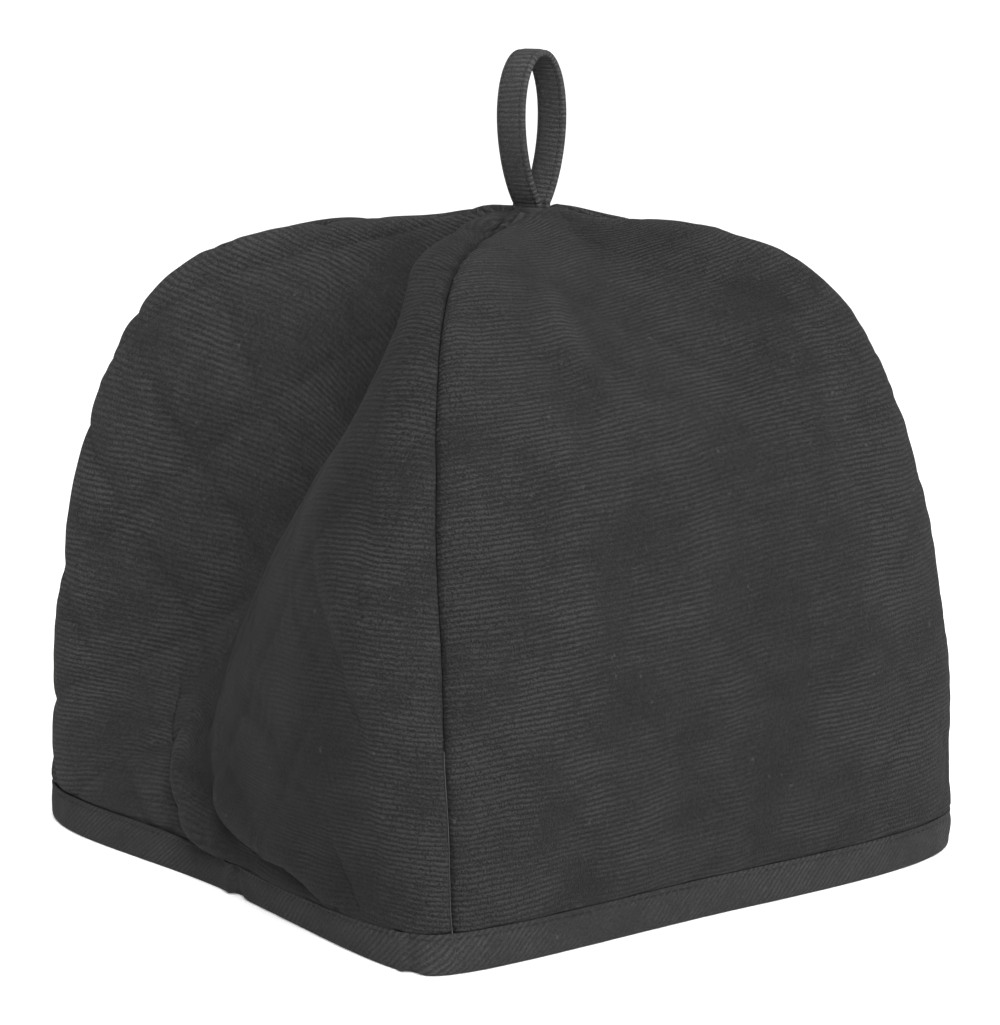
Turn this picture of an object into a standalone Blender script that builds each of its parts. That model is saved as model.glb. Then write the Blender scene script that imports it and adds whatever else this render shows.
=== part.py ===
"""A quilted tea cosy: four arched panels seamed into a ridged dome, with a bound hem and a hanging loop.

Metres, +Z up. The hem stands on Z = 0, and the origin is the bottom centre of the whole piece.
Azimuths are degrees counterclockwise from +X, seen from above.
"""

import math

import bmesh
import bpy
import numpy as np

# Driving sizes
HEM_RADIUS = 0.145  # centre to a corner of the hem
CROWN_HEIGHT = 0.1915  # the ridges' level top
APEX_RISE = 0.0060  # the small peak under the loop
MOUND_SPREAD = 0.007
APEX_SHIFT = (0.0015, -0.0015)  # the point stands a little off the centre of the hem

PANEL_HEIGHT = 0.240  # a flat panel, from hem to point
PANEL_HALF_WIDTH = 0.103
PANEL_POWER = 2.25  # how square the flat panel's arch is

QUILT_THICK = 0.006  # two cloths and the wadding, at the crown of a puff
QUILT_PITCH = 0.0357  # between two rows of quilting that run side by side
# Each panel's falling and rising rows, shifted by so many pitches
QUILT_SHIFTS = ((0.47, 0.40), (0.15, 0.70), (0.62, 0.25), (0.35, 0.13))
QUILT_HALF = 0.0130  # how far from a row of stitches the puff is full again
STITCHED = 0.40  # share of the thickness left under the quilting
SEAM_HALF = 0.0075
SEAMED = 0.24  # the same at the seams
SEAM_DIP = 0.0011  # how far the seams sink below the puffs
CREASE_HALF = 0.015  # how far from the seams the soft creases have their whole depth
POINT_HALF = 0.015  # how far below the point the quilt is full
BOUND = 0.40  # the same inside the hem binding

BINDING_HEIGHT = 0.0118
BINDING_THICK = 0.0012
INNER_HEIGHT = 0.0104  # of the binding's leg inside the cosy
FOLD_BEVEL = 0.7  # share of the binding's thickness, at the two edges of its fold
EDGE_CLEAR = 0.00075  # between the cloth's edge and the binding's fold
FACE_CLEAR = 0.00045  # between the cloth's faces and the binding's legs
ROLL = 0.0035  # the quilt swells out this far above the binding
FREE_START = 0.0218  # height of the first even row of points
TURN_STEP = 0.001  # along the hem, for the way it faces
SEAM_GAP = 0.0008  # between two panels at the middle of their thickness, which closes up on the inside

TAPE_WIDTH = 0.0108
TAPE_THICK = 0.0024
LOOP_WIDTH = 0.0208
LOOP_HEIGHT = 0.0505  # above the cloth's point
LOOP_TURN = 14.0  # of the loop's width from +X
ROOT_DEPTH = 0.007  # how far the tape's ends go down between the panels
ROOT_HALF_GAP = 0.0004
LOOP_START = 24.0  # degrees round the loop from its foot to where it leaves the cloth's point
TAPE_ROUND = 0.4  # share of the tape's thickness that its rounded edges take from its width
TAPE_PLACES = (-0.5, -0.36, 0.0, 0.36, 0.5)  # rows of points across the tape, as shares of its width

# The opening at the point, where the loop's ends go in between the panels
MOUTH_GAP = 0.00075
MOUTH_POWER = 4  # how square it is
MOUTH_START = 0.86  # share of the panels' height where they begin to part

ACROSS = 24  # steps across a panel
EDGE_STEPS = (0.016, 0.035)  # shares of the panel's width, for the rolled edge at a seam
LEVELS = 24  # rows from the binding to the point
POINT_LEFT = 0.00006  # share of the height that the last row stops short of the point
SECTION_STEPS = 60  # from a ridge to a valley
PROFILE_STEPS = 300
TAPE_STEPS = 44
ROOT_STEPS = 12

# The four ridges. azimuth and radius are at the hem, and radius and crown are shares of the driving sizes.
# power is how square the side view is. swing turns the ridge above the hem, and settle is the share of it
# that turns back. swell pushes the ridge out above mid height, and back is how broad its rounded back is, at
# the hem and from BACK_RISE up. spread is how wide the peak is, and mound and mound_at are the height and
# place of a soft lump or dip beside it.
RIDGES = (
    dict(
        azimuth=223.2, radius=1.02, crown=1.0, power=3.05, swing=-12.5, settle=0.34, swell=-0.0043,
        back=(0.012, 0.0222), spread=0.015, mound=0.0, mound_at=0.01,
    ),
    dict(
        azimuth=318.5, radius=0.9, crown=1.005, power=3.52, swing=-1.0, settle=0.0, swell=-0.0068,
        back=(0.022, 0.024), spread=0.009, mound=-0.0026, mound_at=0.0175,
    ),
    dict(
        azimuth=404.4, radius=0.975, crown=0.98, power=3.05, swing=2.0, settle=0.0, swell=0.0,
        back=(0.022, 0.026), spread=0.013, mound=0.0, mound_at=0.01,
    ),
    dict(
        azimuth=493.5, radius=1.055, crown=1.002, power=4.1, swing=2.0, settle=0.0, swell=-0.0065,
        back=(0.026, 0.032), spread=0.015, mound=0.0015, mound_at=0.009,
    ),
)
SWING_SHARE = 0.77
SETTLE_START = 0.35  # share of the height where the ridge begins to turn back
SETTLE_SHARE = 0.5
BACK_RISE = 0.060

# How far each seam lies past its ridge, at heights up the flat panel
SHIFT_HEIGHTS = (0, 0.012, 0.050, 0.092, 0.130, 0.158, 0.185, 0.205, 0.227, 0.240)
SEAM_SHIFTS = (
    (0.007, 0.007, 0.0125, 0.020, 0.017, 0.0105, 0.0045, 0.0005, 0, 0),
    (0.002, 0.002, 0.002, 0.001, 0.001, 0.001, 0.001, 0, 0, 0),
    (0.001, 0.001, 0, -0.001, -0.001, -0.001, -0.001, 0, 0, 0),
    (0, 0, -0.001, -0.001, -0.001, -0.001, -0.001, 0, 0, 0),
)

# Down the middle of each panel, from hem to point. turn is added to the panel's azimuth, and lean tips the
# bottom of the fold over. before and after are how broad the fold's bottom is, as shares of its radius.
COLUMNS = ("height", "radius", "turn", "lean", "before", "after")
VALLEYS = (
    (
        270.0,
        (0.000, 0.1025, 0, 0, 0.42, 0.34),
        (0.050, 0.1030, 0, 0, 0.42, 0.38),
        (0.095, 0.0990, 0, 0, 0.40, 0.40),
        (0.131, 0.0860, 0, 0, 0.34, 0.36),
        (0.158, 0.0620, 0, 0, 0.30, 0.34),
        (0.175, 0.0390, 0, 0, 0.34, 0.36),
        (0.188, 0.0180, 0, 0, 0.36, 0.36),
        (0.1975, 0.0000, 0, 0, 0.36, 0.36),
    ),
    (
        360.0,
        (0.000, 0.1000, 0, 0, 0.40, 0.40),
        (0.045, 0.0960, 0, 0, 0.40, 0.40),
        (0.090, 0.0880, 2, 0, 0.36, 0.36),
        (0.130, 0.0740, 3, 0, 0.34, 0.34),
        (0.158, 0.0540, 3, 0, 0.34, 0.34),
        (0.175, 0.0350, 2, 0, 0.34, 0.34),
        (0.188, 0.0170, 0, 0, 0.34, 0.34),
        (0.1975, 0.0000, 0, 0, 0.34, 0.34),
    ),
    (
        449.0,
        (0.000, 0.1000, 0, 0, 0.42, 0.42),
        (0.040, 0.0960, 4, 5, 0.40, 0.40),
        (0.085, 0.0830, 6, 8, 0.36, 0.36),
        (0.125, 0.0690, 4, 6, 0.34, 0.34),
        (0.158, 0.0500, 2, 0, 0.34, 0.34),
        (0.176, 0.0330, 0, 0, 0.34, 0.34),
        (0.188, 0.0170, 0, 0, 0.34, 0.34),
        (0.1975, 0.0000, 0, 0, 0.34, 0.34),
    ),
    (
        540.0,
        (0.000, 0.1095, 0, 0, 0.42, 0.36),
        (0.018, 0.1075, -7, 4, 0.40, 0.42),
        (0.040, 0.0970, -25, 11, 0.34, 0.46),
        (0.065, 0.0860, -31, 20, 0.28, 0.42),
        (0.095, 0.0720, -24, 27, 0.25, 0.50),
        (0.128, 0.0570, -10, 20, 0.26, 0.52),
        (0.155, 0.0430, -1, 8, 0.30, 0.44),
        (0.175, 0.0280, 0, 0, 0.34, 0.32),
        (0.188, 0.0150, 0, 0, 0.34, 0.34),
        (0.1975, 0.0000, 0, 0, 0.34, 0.34),
    ),
)

# Soft creases in the quilting, as lines on a flat panel: across from its middle and up from its hem.
# depth is below the surface, and below nought is a fold that stands up.
FOLDS = (
    dict(
        panel=0,
        depth=0.0025,
        half=0.010,
        line=((-0.013, 0.205), (-0.013, 0.190), (-0.004, 0.172), (-0.002, 0.150)),
    ),
    dict(
        panel=0,
        depth=-0.0016,
        half=0.011,
        line=((-0.036, 0.211), (-0.026, 0.168), (-0.019, 0.127)),
    ),
    dict(
        panel=1,
        depth=0.0035,
        half=0.014,
        line=((0.020, 0.030), (0.045, 0.100)),
    ),
    dict(
        panel=2,
        depth=0.0050,
        half=0.013,
        line=((-0.010, 0.020), (-0.030, 0.110)),
    ),
    dict(
        panel=3,
        depth=0.0020,
        half=0.010,
        line=((0.002, 0.010), (-0.027, 0.038), (-0.042, 0.060)),
    ),
    dict(
        panel=3,
        depth=-0.0045,
        half=0.009,
        line=((-0.044, 0.044), (-0.050, 0.056), (-0.055, 0.072), (-0.052, 0.088), (-0.042, 0.104)),
    ),
    dict(
        panel=3,
        depth=0.0024,
        half=0.010,
        line=((0.093, 0.141), (0.101, 0.097), (0.087, 0.051), (0.071, 0.025)),
    ),
)

COLOURS = {
    "panel": (0.045, 0.045, 0.046, 1),
    "binding": (0.052, 0.052, 0.053, 1),
    "tape": (0.050, 0.050, 0.051, 1),
}


def ease(share):
    """0 to 1 with no corner at either end."""
    share = np.clip(share, 0.0, 1.0)
    return share * share * (3 - 2 * share)


def heading(azimuth):
    return np.stack([np.cos(np.radians(azimuth)), np.sin(np.radians(azimuth))], axis=-1)


def lengths(line):
    """How far along a line each of its points lies."""
    steps = np.linalg.norm(np.diff(line, axis=0), axis=1)
    return np.concatenate([[0.0], np.cumsum(steps)])


def at_length(line, where):
    """The points of a line at the given distances along it."""
    run = lengths(line)
    return np.stack([np.interp(where, run, line[:, axis]) for axis in range(line.shape[1])], axis=-1)


def smooth(at, knots, values):
    """A curve with no corners through the rows of a table."""
    knots, values = np.asarray(knots, float), np.asarray(values, float)
    slope = np.gradient(values, knots)
    cell = np.clip(np.searchsorted(knots, at) - 1, 0, len(knots) - 2)
    span = knots[cell + 1] - knots[cell]
    part = np.clip((at - knots[cell]) / span, 0.0, 1.0)
    rise = ease(part)
    ends = values[cell] * (1 - rise) + values[cell + 1] * rise
    bend = part * (1 - part) * span
    return ends + bend * ((1 - part) * slope[cell] - part * slope[cell + 1])


def centre_at(height):
    """The cosy's axis leans from the hem's centre to the point's."""
    return np.asarray(height)[..., None] / CROWN_HEIGHT * np.array(APEX_SHIFT)


def ridge_line(ridge):
    """A ridge from hem to point, as points with the azimuth of each."""
    angle = np.linspace(0, math.pi / 2, PROFILE_STEPS)
    radius = HEM_RADIUS * ridge["radius"] * np.cos(angle) ** (2 / ridge["power"])
    rise = np.sin(angle) ** (2 / ridge["power"])
    radius = radius + ridge["swell"] * np.sin(math.pi * rise**2)
    radius[-1] = 0
    settled = 1 - ridge["settle"] * ease((rise - SETTLE_START) / SETTLE_SHARE)
    azimuth = ridge["azimuth"] + ridge["swing"] * ease(rise / SWING_SHARE) * settled
    crown = CROWN_HEIGHT * ridge["crown"]
    peak = (CROWN_HEIGHT + APEX_RISE - crown) * np.exp(-((radius / ridge["spread"]) ** 2))
    mound = ridge["mound"] * np.exp(-(((radius - ridge["mound_at"]) / MOUND_SPREAD) ** 2))
    height = crown * rise + peak + mound * ease(radius / MOUND_SPREAD)
    plan = centre_at(height) + radius[:, None] * heading(azimuth)
    return np.column_stack([plan, height, azimuth])


def valley_line(rows):
    """The middle of a panel from hem to point, as points with their azimuth, lean and breadths."""
    azimuth, *levels = rows
    table = dict(zip(COLUMNS, np.array(levels).T))
    chord = lengths(np.column_stack([table["radius"], table["height"]]))
    at = np.linspace(0, chord[-1], PROFILE_STEPS)
    fine = {name: smooth(at, chord, table[name]) for name in COLUMNS}
    turned = azimuth + fine["turn"]
    plan = centre_at(fine["height"]) + fine["radius"][:, None] * heading(turned)
    return np.column_stack([plan, fine["height"], turned, fine["lean"], fine["before"], fine["after"]])


def half_width(up):
    """Half the width of the flat panel at a height above its hem."""
    return PANEL_HALF_WIDTH * (1 - np.clip(up / PANEL_HEIGHT, 0, 1) ** PANEL_POWER) ** (1 / PANEL_POWER)


def edge_length(up):
    """How far up its curved edge a flat panel is at a height above its hem."""
    heights = PANEL_HEIGHT * np.sin(np.linspace(0, math.pi / 2, PROFILE_STEPS))
    run = lengths(np.column_stack([half_width(heights), heights]))
    return np.interp(up, heights, run)


def eased_along(line, where, total):
    """The row of a line for a distance on the flat panel, which is eased to fit the line by the point."""
    run = lengths(line[:, :3])
    where = where + (run[-1] - total) * (where / total) ** 2
    return np.array([np.interp(where, run, column) for column in line.T])


def flat_turn(azimuth):
    """The level direction at right angles to an azimuth, counterclockwise."""
    across = heading(azimuth + 90)
    return np.array([across[0], across[1], 0.0])


def curve_between(start, start_pull, end, end_pull):
    """A cubic curve, as points without the last one."""
    share = np.linspace(0, 1, SECTION_STEPS, endpoint=False)[:, None]
    rest = 1 - share
    return (
        rest**3 * start
        + 3 * rest**2 * share * (start + start_pull)
        + 3 * rest * share**2 * (end + end_pull)
        + share**3 * end
    )


RIDGE_LINES = [ridge_line(ridge) for ridge in RIDGES]
VALLEY_LINES = [valley_line(rows) for rows in VALLEYS]


def mouth(angle):
    """The opening at the point that the loop's ends pass through."""
    clear = SEAMED * QUILT_THICK / 2 + MOUTH_GAP
    broad, narrow = TAPE_WIDTH / 2 + clear, TAPE_THICK + ROOT_HALF_GAP + clear
    turned = np.radians(angle - LOOP_TURN - 90)
    along, aside = np.abs(np.cos(turned) / broad), np.abs(np.sin(turned) / narrow)
    return (along**MOUTH_POWER + aside**MOUTH_POWER) ** (-1 / MOUTH_POWER)


def section(up):
    """The closed line round the cosy at a height of the flat panels, and where the four seams cross it."""
    edge, edge_total = edge_length(up), edge_length(PANEL_HEIGHT)
    width = half_width(up)
    ridges = [eased_along(line, edge, edge_total) for line in RIDGE_LINES]
    pieces = []
    for number, ridge in enumerate(RIDGES):
        following = (number + 1) % len(RIDGES)
        middle = eased_along(VALLEY_LINES[number], up, PANEL_HEIGHT)
        place, azimuth, lean, before, after = middle[:3], middle[3], middle[4], middle[5], middle[6]
        along = flat_turn(azimuth - lean)
        reach = np.linalg.norm(place[:2] - centre_at(place[2]))
        shrink = width / PANEL_HALF_WIDTH
        first, last = ridges[number][:3], ridges[following][:3]
        broad = np.interp(up, (0, BACK_RISE), ridge["back"])
        pull = broad * shrink * flat_turn(ridges[number][3])
        pieces.append(curve_between(first, pull, place, -before * reach * along))
        broad = np.interp(up, (0, BACK_RISE), RIDGES[following]["back"])
        pull = -broad * shrink * flat_turn(ridges[following][3])
        pieces.append(curve_between(place, after * reach * along, last, pull))
    closed = np.vstack(pieces + [pieces[0][:1]])
    run = lengths(closed)
    crests = run[np.arange(len(RIDGES)) * 2 * SECTION_STEPS]
    shifts = [smooth(up, SHIFT_HEIGHTS, table) for table in SEAM_SHIFTS]
    return closed, run, crests + shifts


def take(closed, run, where):
    """Points of a closed line at distances along it, which may pass its end."""
    return np.stack([np.interp(where % run[-1], run, closed[:, axis]) for axis in range(3)], axis=-1)


def panel_sheet(number, shares, ups):
    """A panel's middle surface, with a row of points for each height, and the rows' widths."""
    sheet, widths = [], []
    for up in ups:
        closed, run, seams = section(up)
        start = seams[number]
        end = seams[number + 1] if number + 1 < len(seams) else seams[0] + run[-1]
        start, end = start + SEAM_GAP / 2, end - SEAM_GAP / 2
        sheet.append(take(closed, run, start + shares * (end - start)))
        widths.append(end - start)
    return np.array(sheet), np.array(widths)[:, None]


def open_mouth(points, number, shares, ups):
    """Parts the top of the cloth round the loop's ends."""
    corners = [ridge["azimuth"] + ridge["swing"] for ridge in RIDGES]
    corners.append(corners[0] + 360)
    angle = corners[number] + shares * (corners[number + 1] - corners[number])
    spread = ease((ups / PANEL_HEIGHT - MOUTH_START) / (1 - MOUTH_START))[:, None, None]
    points = points.copy()
    points[..., :2] += spread * (mouth(angle)[:, None] * heading(angle))[None]
    return points


def normals_of(sheet):
    """Outward directions of a sheet of points, rows running up and columns running counterclockwise."""
    up = np.gradient(sheet, axis=0)
    across = np.gradient(sheet, axis=1)
    facing = np.cross(across, up)
    return facing / np.linalg.norm(facing, axis=-1, keepdims=True)


def from_line(across, up, line):
    """Distance of places on the flat panel from the straight stretches of a crease."""
    places = np.stack([across, up], axis=-1)
    nearest = np.full(across.shape, PANEL_HEIGHT)
    for start, end in zip(np.array(line), np.array(line[1:])):
        reach = end - start
        part = np.clip((places - start) @ reach / (reach @ reach), 0, 1)
        away = np.linalg.norm(places - start - part[..., None] * reach, axis=-1)
        nearest = np.minimum(nearest, away)
    return nearest


def crease_depth(number, across, up):
    depth = np.zeros_like(across)
    for fold in FOLDS:
        if fold["panel"] == number:
            away = from_line(across, up, fold["line"])
            depth += fold["depth"] * np.exp(-((away / fold["half"]) ** 2))
    return depth


def row_distance(place, shift):
    """Distance to the nearest of the lines that lie a quilting pitch apart."""
    return np.abs((place / QUILT_PITCH - shift + 0.5) % 1.0 - 0.5) * QUILT_PITCH


def thickness(number, across, up, edge):
    """The quilt's thickness as a share of its full one. edge is the distance to the nearest seam."""
    falling, rising = QUILT_SHIFTS[number]
    rows = np.minimum(
        row_distance((across + up) / math.sqrt(2), falling),
        row_distance((across - up) / math.sqrt(2), rising),
    )
    puff = STITCHED + (1 - STITCHED) * np.sqrt(ease(rows / QUILT_HALF))
    puff = SEAMED + (puff - SEAMED) * np.sqrt(ease(edge / SEAM_HALF))
    bound = BOUND + (1 - BOUND) * np.sqrt(ease((up - BINDING_HEIGHT) / QUILT_HALF))
    point = SEAMED + (1 - SEAMED) * ease((PANEL_HEIGHT - up) / POINT_HALF)
    return np.minimum(np.minimum(puff, point), bound)


def panel_shares():
    first, second = EDGE_STEPS
    inner = np.linspace(second, 1 - second, ACROSS - 3)
    return np.concatenate([[0.0, first], inner, [1 - first, 1.0]])


def panel_heights():
    bound = [BINDING_THICK + EDGE_CLEAR, BINDING_HEIGHT, BINDING_HEIGHT + ROLL]
    first = math.asin(FREE_START / PANEL_HEIGHT)
    free = PANEL_HEIGHT * np.sin(np.linspace(first, math.pi / 2, LEVELS))
    return np.concatenate([bound, free * (1 - POINT_LEFT * (free == free.max()))])


def grid_object(name, columns, rows, points, material):
    """A grid primitive whose points take their places from the given rows."""
    bpy.ops.mesh.primitive_grid_add(x_subdivisions=columns - 1, y_subdivisions=rows - 1, size=1)
    item = bpy.context.object
    item.name = item.data.name = name
    item.data.vertices.foreach_set("co", np.asarray(points, np.float32).reshape(-1))
    item.data.update()
    item.data.materials.append(material)
    item.data.shade_smooth()
    return item


def make_panel(name, number, material):
    shares, ups = panel_shares(), panel_heights()
    sheet, widths = panel_sheet(number, shares, ups)
    sheet = open_mouth(sheet, number, shares, ups)
    across = (shares - 0.5) * widths
    up = np.broadcast_to(ups[:, None], across.shape)
    edge = widths / 2 - np.abs(across)
    free = ease((up - BINDING_HEIGHT) / QUILT_HALF) * ease((PANEL_HEIGHT - up) / POINT_HALF)
    dip = SEAM_DIP * (1 - ease(edge / SEAM_HALF)) * free
    depth = crease_depth(number, across, up) * free * ease(edge / CREASE_HALF)
    sheet = sheet - (depth + dip)[..., None] * normals_of(sheet)
    item = grid_object(name, len(shares), len(ups), sheet, material)
    group = item.vertex_groups.new(name="quilting")
    for index, weight in enumerate(thickness(number, across, up, edge).reshape(-1)):
        group.add([index], float(weight), "REPLACE")
    solid = item.modifiers.new("Quilt", "SOLIDIFY")
    solid.thickness = QUILT_THICK
    solid.offset = 0
    solid.vertex_group = group.name
    return item


def make_binding(name, material):
    """A folded tape with the cloth's edge between its two legs, closed round the hem."""
    inside = BOUND * QUILT_THICK / 2 + FACE_CLEAR
    outside = inside + BINDING_THICK
    fold = BINDING_THICK
    flat = outside - FOLD_BEVEL * fold
    profile = (
        (-inside, INNER_HEIGHT),
        (-inside, fold),
        (inside, fold),
        (inside, BINDING_HEIGHT),
        (outside, BINDING_HEIGHT),
        (outside, fold),
        (flat, 0.0),
        (-flat, 0.0),
        (-outside, fold),
        (-outside, INNER_HEIGHT),
    )
    rings = []
    for side, up in profile:
        closed, run, seams = section(up)
        ends = np.append(seams, seams[0] + run[-1])
        where = np.concatenate([a + panel_shares()[:-1] * (b - a) for a, b in zip(ends, ends[1:])])
        ahead, behind = take(closed, run, where + TURN_STEP), take(closed, run, where - TURN_STEP)
        forward = (ahead - behind) / np.linalg.norm(ahead - behind, axis=1, keepdims=True)
        outward = np.column_stack([forward[:, 1], -forward[:, 0], np.zeros(len(where))])
        outward /= np.linalg.norm(outward, axis=1, keepdims=True)
        rings.append(take(closed, run, where) + side * outward)
    mesh = bpy.data.meshes.new(name)
    shape = bmesh.new()
    loops = [[shape.verts.new(point) for point in ring] for ring in rings]
    for here, beyond in zip(loops, loops[1:] + loops[:1]):
        for step in range(len(here)):
            after = (step + 1) % len(here)
            shape.faces.new((here[step], here[after], beyond[after], beyond[step]))
    bmesh.ops.recalc_face_normals(shape, faces=shape.faces)
    shape.to_mesh(mesh)
    shape.free()
    mesh.materials.append(material)
    item = bpy.data.objects.new(name, mesh)
    bpy.context.scene.collection.objects.link(item)
    return item


def loop_line():
    """The tape's middle line, sideways and up, from one end round to the other."""
    start = math.radians(LOOP_START)
    turn = np.linspace(start, 2 * math.pi - start, PROFILE_STEPS)
    side = np.sin(turn) * np.sqrt(np.sin(turn / 2))
    side *= (LOOP_WIDTH - TAPE_THICK) / 2 / side.max()
    rise = (LOOP_HEIGHT - TAPE_THICK / 2) * (1 - np.cos(turn)) / 2
    root = TAPE_THICK / 2 + ROOT_HALF_GAP
    top = np.column_stack([side, rise])
    ends = np.linspace(-ROOT_DEPTH, rise[0], ROOT_STEPS, endpoint=False)
    settle = root + (side[0] - root) * ease((ends + ROOT_DEPTH) / (rise[0] + ROOT_DEPTH))
    down = np.column_stack([settle, ends])
    return np.vstack([down, top, down[::-1] * (-1, 1)])


def make_loop(name, material):
    line = loop_line()
    run = lengths(line)
    middle = at_length(line, np.linspace(0, run[-1], TAPE_STEPS + 1))
    width = np.array(TAPE_PLACES) * (TAPE_WIDTH - TAPE_ROUND * TAPE_THICK)
    side = heading(LOOP_TURN)
    broad = heading(LOOP_TURN + 90)
    centre = centre_at(CROWN_HEIGHT)
    base = CROWN_HEIGHT + APEX_RISE
    plan = centre + middle[:, None, :1] * side + width[None, :, None] * broad
    height = np.broadcast_to(base + middle[:, None, 1:], plan[..., :1].shape)
    points = np.concatenate([plan, height], axis=-1)
    item = grid_object(name, len(width), len(middle), points, material)
    solid = item.modifiers.new("Tape", "SOLIDIFY")
    solid.thickness = TAPE_THICK
    solid.offset = 0
    return item


def make_material(name, colour):
    material = bpy.data.materials.new(name)
    material.use_nodes = True
    shader = material.node_tree.nodes["Principled BSDF"]
    shader.inputs["Base Color"].default_value = colour
    shader.inputs["Roughness"].default_value = 0.95
    return material


def centre_on_hem(items):
    """Puts the bottom centre of the whole piece at the origin."""
    bpy.context.view_layer.update()
    graph = bpy.context.evaluated_depsgraph_get()
    corners = []
    for item in items:
        corners += [item.matrix_world @ vertex.co for vertex in item.evaluated_get(graph).data.vertices]
    corners = np.array(corners)
    shift = -(corners.min(axis=0) + corners.max(axis=0)) / 2
    for item in items:
        for vertex in item.data.vertices:
            vertex.co.x += shift[0]
            vertex.co.y += shift[1]


def main():
    for item in list(bpy.data.objects):
        bpy.data.objects.remove(item, do_unlink=True)
    materials = {name: make_material(name, colour) for name, colour in COLOURS.items()}
    names = ("panel_front", "panel_right", "panel_back", "panel_left")
    items = [make_panel(name, number, materials["panel"]) for number, name in enumerate(names)]
    items.append(make_binding("hem_binding", materials["binding"]))
    items.append(make_loop("hanging_loop", materials["tape"]))
    centre_on_hem(items)
    parts = bpy.data.collections.new("tea_cosy")
    bpy.context.scene.collection.children.link(parts)
    for item in items:
        for old in list(item.users_collection):
            old.objects.unlink(item)
        parts.objects.link(item)


main()
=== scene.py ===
"""A quilted tea cosy: a dome of four quilted panels of charcoal ribbed cotton over a hollow for the teapot,
sewn edge to edge, its hem bound on the bias and a folded tape caught in at the point as a hanging loop.

Metres, +Z up, in the frame's own place. Azimuths are degrees counterclockwise from +X, seen from above.
"""

import math

import bpy
import numpy as np
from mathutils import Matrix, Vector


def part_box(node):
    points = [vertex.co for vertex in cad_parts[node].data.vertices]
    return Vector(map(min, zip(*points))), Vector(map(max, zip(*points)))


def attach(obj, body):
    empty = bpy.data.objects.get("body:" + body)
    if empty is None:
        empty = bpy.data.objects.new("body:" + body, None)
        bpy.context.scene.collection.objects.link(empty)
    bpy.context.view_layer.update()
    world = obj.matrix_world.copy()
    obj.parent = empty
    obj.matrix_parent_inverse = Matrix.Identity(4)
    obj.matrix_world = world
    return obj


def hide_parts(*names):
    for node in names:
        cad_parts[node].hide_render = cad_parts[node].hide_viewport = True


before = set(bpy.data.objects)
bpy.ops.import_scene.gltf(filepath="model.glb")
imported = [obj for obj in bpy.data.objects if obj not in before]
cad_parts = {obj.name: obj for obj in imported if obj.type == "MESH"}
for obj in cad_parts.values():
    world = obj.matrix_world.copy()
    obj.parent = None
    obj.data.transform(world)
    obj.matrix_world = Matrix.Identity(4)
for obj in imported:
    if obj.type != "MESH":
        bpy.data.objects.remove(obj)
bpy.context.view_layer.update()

# ----------------------------------------------------------------------
# The quilted panels
# Four arched pieces of ready-made quilting: charcoal ribbed cotton on both faces, wadding between, sewn
# through in diamonds. Seamed edge to edge into a dome whose seams stand up as ridges while the middles fold
# inwards.

HEM_RADIUS = 0.145  # centre to a corner of the hem
CROWN_HEIGHT = 0.1915  # the ridges' level top
APEX_RISE = 0.0060  # the small peak under the loop
APEX_SHIFT = (0.0015, -0.0015)  # how far the point lies from the hem's centre
MOUND_SPREAD = 0.007  # how wide a ridge's mound or dip beside the point is

PANEL_HEIGHT = 0.240  # a flat panel, from hem to point
PANEL_HALF_WIDTH = 0.103
PANEL_POWER = 2.25  # of the superellipse that a panel is cut to
QUILT_THICK = 0.006
BINDING_HEIGHT = 0.0118

# The four ridges, from the nearest round to the left. Each stands at its azimuth, at shares of the hem's
# radius and the crown's height, as a superellipse of its power. Going up it swings, settles back by a share
# of the swing, and swells. back is how far the cloth runs on level beside it, at the hem and higher up,
# spread how wide its peak is, and mound and mound_at how high the cloth stands next to that and where.
RIDGES = (
    dict(azimuth=223.2, radius=1.02, crown=1.0, power=3.05, swing=-12.5, settle=0.34, swell=-0.0043,
         back=(0.012, 0.0222), spread=0.015, mound=0.0, mound_at=0.01),
    dict(azimuth=318.5, radius=0.9, crown=1.005, power=3.52, swing=-1.0, settle=0.0, swell=-0.0068,
         back=(0.022, 0.024), spread=0.009, mound=-0.0026, mound_at=0.0175),
    dict(azimuth=404.4, radius=0.975, crown=0.98, power=3.05, swing=2.0, settle=0.0, swell=0.0,
         back=(0.022, 0.026), spread=0.013, mound=0.0, mound_at=0.01),
    dict(azimuth=493.5, radius=1.055, crown=1.002, power=4.1, swing=2.0, settle=0.0, swell=-0.0065,
         back=(0.026, 0.032), spread=0.015, mound=0.0015, mound_at=0.009),
)
SWING_SHARE = 0.77  # share of the height by which a ridge has swung
SETTLE_START = 0.35  # share of the height at which it starts to settle back
SETTLE_SHARE = 0.5  # and the stretch over which it does
BACK_RISE = 0.060  # height by which back is the higher one

# How far each seam lies past its ridge, in millimetres, at heights up the flat panel
SHIFT_HEIGHTS = (0, 12, 50, 92, 130, 158, 185, 205, 227, 240)
SEAM_SHIFTS = (
    (7, 7, 12.5, 20, 17, 10.5, 4.5, 0.5, 0, 0),
    (2, 2, 2, 1, 1, 1, 1, 0, 0, 0),
    (1, 1, 0, -1, -1, -1, -1, 0, 0, 0),
    (0, 0, -1, -1, -1, -1, -1, 0, 0, 0),
)

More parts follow.
